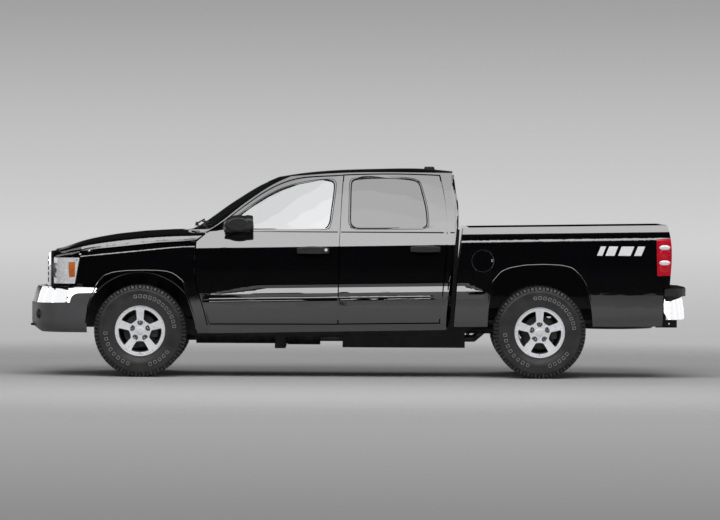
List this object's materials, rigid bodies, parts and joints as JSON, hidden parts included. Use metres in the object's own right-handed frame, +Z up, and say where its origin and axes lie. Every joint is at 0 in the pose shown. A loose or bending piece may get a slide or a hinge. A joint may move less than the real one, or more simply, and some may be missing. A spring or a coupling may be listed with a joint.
{
  "type": "four-door pickup truck",
  "caption": "Four-door pickup truck with a hollow cab, an open load bed, opening doors, hood and tailgate, and steered front wheels.",
  "frame": {"origin": "on the ground under the middle of the truck's bounding box", "axes": "+Z up, front of the truck at -X, driver's side at -Y"},
  "size_m": [5.53, 2.084, 1.7524],
  "materials": {
    "body_paint": "gloss black",
    "chrome": "polished",
    "alloy": "satin",
    "tyre": "matte",
    "dark_plastic": "textured",
    "grey_plastic": "satin",
    "mirror_plastic": "gloss black",
    "tinted_glass": "clear tint",
    "lamp_clear": "clear lens over a bright reflector",
    "lamp_red": "red lens",
    "frame_steel": "satin black",
    "cast": "raw",
    "pipe": "dull",
    "seat_cloth": "woven",
    "trim_grey": "grained"
  },
  "bodies": {
    "truck": {"frame_rails": "frame_steel", "crossmembers": "frame_steel", "radiator_support": "frame_steel", "hitch_receiver": "frame_steel", "powertrain": "cast", "rear_suspension": "frame_steel", "front_suspension": "frame_steel", "spare_wheel": "tyre", "exhaust": "pipe", "fuel_tank": "dark_plastic", "seats": "seat_cloth", "dashboard": "trim_grey", "cab_shell": "body_paint", "cab_glass": "tinted_glass", "fender_left": "body_paint", "fender_right": "body_paint", "front_liners": "dark_plastic", "front_bumper": "chrome", "front_fascia": "grey_plastic", "grille": "chrome", "headlamps": "lamp_clear", "bed": "body_paint", "tail_lamps": "lamp_red", "rear_bumper": "chrome", "rear_step": "dark_plastic"},
    "hood": {"hood": "body_paint"},
    "tailgate": {"tailgate": "body_paint"},
    "fuel_door": {"fuel_door": "body_paint"},
    "steering_wheel": {"steering_wheel": "trim_grey"},
    "front_door_left": {"door_front_left": "body_paint", "glass_front_left": "tinted_glass", "mirror_left": "mirror_plastic"},
    "rear_door_left": {"door_rear_left": "body_paint", "glass_rear_left": "tinted_glass"},
    "knuckle_left": {"knuckle_left": "cast"},
    "front_wheel_left": {"wheel_front_left": "alloy", "tyre_front_left": "tyre"},
    "rear_wheel_left": {"wheel_rear_left": "alloy", "tyre_rear_left": "tyre"},
    "front_door_right": {"door_front_right": "body_paint", "glass_front_right": "tinted_glass", "mirror_right": "mirror_plastic"},
    "rear_door_right": {"door_rear_right": "body_paint", "glass_rear_right": "tinted_glass"},
    "knuckle_right": {"knuckle_right": "cast"},
    "front_wheel_right": {"wheel_front_right": "alloy", "tyre_front_right": "tyre"},
    "rear_wheel_right": {"wheel_rear_right": "alloy", "tyre_rear_right": "tyre"}
  },
  "joints": [
    {"name": "front_door_left_hinge", "type": "hinge", "parent": "truck", "child": "front_door_left", "pos_m": [-1.401, -0.876, 0.85], "axis": [0, 0, -1], "range_deg": [0, 62]},
    {"name": "rear_door_left_hinge", "type": "hinge", "parent": "truck", "child": "rear_door_left", "pos_m": [-0.11, -0.886, 0.775], "axis": [0, 0, -1], "range_deg": [0, 65]},
    {"name": "steer_left", "type": "hinge", "parent": "truck", "child": "knuckle_left", "pos_m": [-1.819, -0.715, 0.386], "axis": [0, 0, 1], "range_deg": [-30, 30]},
    {"name": "front_wheel_left_spin", "type": "hinge", "parent": "knuckle_left", "child": "front_wheel_left", "pos_m": [-1.819, -0.785, 0.386], "axis": [0, 1, 0], "continuous": true},
    {"name": "rear_wheel_left_spin", "type": "hinge", "parent": "truck", "child": "rear_wheel_left", "pos_m": [1.516, -0.785, 0.386], "axis": [0, 1, 0], "continuous": true},
    {"name": "front_door_right_hinge", "type": "hinge", "parent": "truck", "child": "front_door_right", "pos_m": [-1.401, 0.876, 0.85], "axis": [0, 0, 1], "range_deg": [0, 62]},
    {"name": "rear_door_right_hinge", "type": "hinge", "parent": "truck", "child": "rear_door_right", "pos_m": [-0.11, 0.886, 0.775], "axis": [0, 0, 1], "range_deg": [0, 65]},
    {"name": "steer_right", "type": "hinge", "parent": "truck", "child": "knuckle_right", "pos_m": [-1.819, 0.715, 0.386], "axis": [0, 0, 1], "range_deg": [-30, 30]},
    {"name": "front_wheel_right_spin", "type": "hinge", "parent": "knuckle_right", "child": "front_wheel_right", "pos_m": [-1.819, 0.785, 0.386], "axis": [0, 1, 0], "continuous": true},
    {"name": "rear_wheel_right_spin", "type": "hinge", "parent": "truck", "child": "rear_wheel_right", "pos_m": [1.516, 0.785, 0.386], "axis": [0, 1, 0], "continuous": true},
    {"name": "steering_wheel_turn", "type": "hinge", "parent": "truck", "child": "steering_wheel", "pos_m": [-0.88565, -0.37, 1.06197], "axis": [0.9063, 0, 0.4226], "range_deg": [-480, 480]},
    {"name": "hood_hinge", "type": "hinge", "parent": "truck", "child": "hood", "pos_m": [-1.225, 0, 1.215], "axis": [0, 1, 0], "range_deg": [0, 50]},
    {"name": "tailgate_hinge", "type": "hinge", "parent": "truck", "child": "tailgate", "pos_m": [2.58, 0, 0.822], "axis": [0, 1, 0], "range_deg": [0, 90]},
    {"name": "fuel_door_hinge", "type": "hinge", "parent": "truck", "child": "fuel_door", "pos_m": [0.951, -0.905, 0.981], "axis": [0, 0, -1], "range_deg": [0, 100]}
  ],
  "couplings": [
    {"joint": "steer_right", "follows": "steer_left", "ratio": 1},
    {"joint": "steering_wheel_turn", "follows": "steer_left", "ratio": 16}
  ]
}
